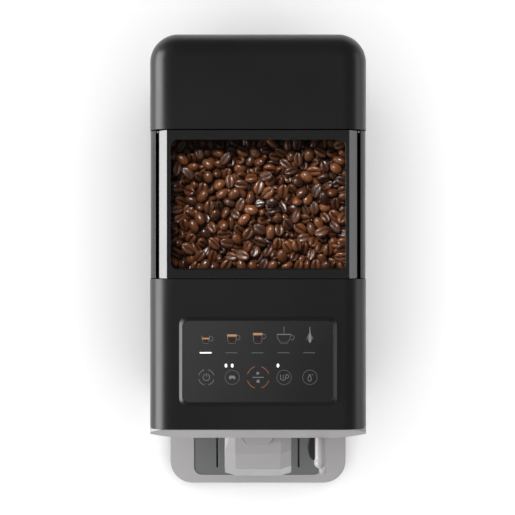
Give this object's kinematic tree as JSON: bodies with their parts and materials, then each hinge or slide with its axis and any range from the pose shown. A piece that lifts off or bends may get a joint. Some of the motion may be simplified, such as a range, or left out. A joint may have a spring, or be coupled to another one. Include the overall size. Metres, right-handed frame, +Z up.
{
  "type": "bean-to-cup coffee machine",
  "caption": "Slim countertop bean-to-cup coffee machine: clear-lidded bean hopper, touch panel, sliding spout, steam wand, drip tray and rear water tank.",
  "frame": {"origin": "under the middle of the machine's box, on the surface that it stands on", "axes": "+Z up, front of the machine faces -Y, its depth along Y, its width along X"},
  "size_m": [0.183, 0.414, 0.327],
  "materials": {
    "black_satin": "fine satin, moulded",
    "black_gloss_frame": "polished",
    "control_glass": "smooth tinted panel",
    "greige": "satin warm grey paint",
    "wand_metal": "satin",
    "tray_grille": "satin dark grey",
    "chrome": "polished",
    "clear_pane": "clear, slightly smoked",
    "smoked_tank": "smoked, transparent",
    "black_plastic": "moulded",
    "rubber": "soft matt",
    "grey_plastic": "moulded",
    "white_plastic": "moulded",
    "steel": "machined",
    "aluminium": "cast",
    "brass": "plain",
    "circuit_board": "lacquered board",
    "lights": "diffuser"
  },
  "bodies": {
    "machine": {"front_head": "black_satin", "side_panel_left": "black_satin", "side_panel_right": "black_satin", "rear_base": "black_satin", "control_glass": "control_glass", "front_panel": "greige", "spout_guide": "greige", "wand_socket": "greige", "base_pan": "black_plastic", "hopper_bin": "black_plastic", "bulkhead": "black_plastic", "deck": "black_plastic", "coffee_chute": "black_plastic", "mains_inlet": "black_plastic", "switch_frame": "black_plastic", "feet": "rubber", "tank_seat": "rubber", "pump_mounts": "rubber", "internal_hoses": "rubber", "brew_frame": "grey_plastic", "brew_cylinder": "grey_plastic", "grinder_housing": "grey_plastic", "steam_valve": "grey_plastic", "upper_burr": "steel", "case_screws": "steel", "corner_brackets": "steel", "door_hinge_pins": "steel", "grinder_motor": "steel", "brew_motor": "steel", "pump": "steel", "thermoblock": "aluminium", "inlet_blades": "brass", "control_board": "circuit_board", "main_board": "circuit_board", "control_lights": "lights"},
    "drip_drawer": {"drip_tray": "greige", "grounds_box": "black_plastic"},
    "grille": {"tray_grille": "tray_grille"},
    "spout": {"spout_body": "greige", "spout_skirt": "chrome", "spout_nozzles": "black_plastic"},
    "wand": {"wand_arm": "greige", "wand_tube": "wand_metal", "wand_tip": "wand_metal", "wand_grip": "rubber"},
    "hopper_cover": {"hopper_lid": "black_gloss_frame", "hopper_window": "clear_pane"},
    "tank": {"water_tank": "smoked_tank", "tank_valve": "grey_plastic", "water_filter": "white_plastic", "tank_lid_pins": "steel"},
    "tank_cover": {"tank_lid": "black_satin"},
    "door": {"service_door": "black_satin"},
    "mains_switch": {"power_switch": "black_plastic"},
    "burr": {"lower_burr": "steel", "burr_shaft": "steel", "burr_gear": "white_plastic"},
    "pinion": {"motor_pinion": "steel"},
    "piston": {"brew_piston": "grey_plastic"},
    "spindle": {"brew_spindle": "steel"}
  },
  "joints": [
    {"name": "tray_slide", "type": "slide", "parent": "machine", "child": "drip_drawer", "axis": [0, -1, 0], "range_m": [0, 0.16]},
    {"name": "grille_lift", "type": "slide", "parent": "drip_drawer", "child": "grille", "axis": [0, 0, 1], "range_m": [0, 0.03]},
    {"name": "spout_slide", "type": "slide", "parent": "machine", "child": "spout", "axis": [0, 0, 1], "range_m": [-0.045, 0]},
    {"name": "wand_swing", "type": "hinge", "parent": "machine", "child": "wand", "pos_m": [0.0554, -0.145, 0.235], "axis": [0, -1, 0], "range_deg": [0, 60]},
    {"name": "hopper_lid_lift", "type": "slide", "parent": "machine", "child": "hopper_cover", "axis": [0, 0, 1], "range_m": [0, 0.06]},
    {"name": "tank_lift", "type": "slide", "parent": "machine", "child": "tank", "axis": [0, 0, 1], "range_m": [0, 0.15]},
    {"name": "tank_lid_hinge", "type": "hinge", "parent": "tank", "child": "tank_cover", "pos_m": [0, 0.2037, 0.2998], "axis": [-1, 0, 0], "range_deg": [0, 75]},
    {"name": "service_door_hinge", "type": "hinge", "parent": "machine", "child": "door", "pos_m": [0.09025, 0.06, 0.165], "axis": [0, 0, 1], "range_deg": [0, 100]},
    {"name": "power_rocker", "type": "hinge", "parent": "machine", "child": "mains_switch", "pos_m": [-0.044, 0.2, 0.026], "axis": [1, 0, 0], "range_deg": [-8, 8]},
    {"name": "burr_spin", "type": "hinge", "parent": "machine", "child": "burr", "pos_m": [0, 0.062, 0.16], "axis": [0, 0, 1], "continuous": true},
    {"name": "pinion_spin", "type": "hinge", "parent": "machine", "child": "pinion", "pos_m": [0, 0.098, 0.15], "axis": [0, 0, 1], "continuous": true},
    {"name": "piston_slide", "type": "slide", "parent": "machine", "child": "piston", "axis": [0, 0, -1], "range_m": [0, 0.04]},
    {"name": "spindle_spin", "type": "hinge", "parent": "machine", "child": "spindle", "pos_m": [0.02, -0.086, 0.16], "axis": [0, 0, 1], "range_deg": [0, 3600]}
  ],
  "couplings": [
    {"joint": "pinion_spin", "follows": "burr_spin", "ratio": -3.5},
    {"joint": "spindle_spin", "follows": "piston_slide", "rad_per_m": 1570}
  ]
}
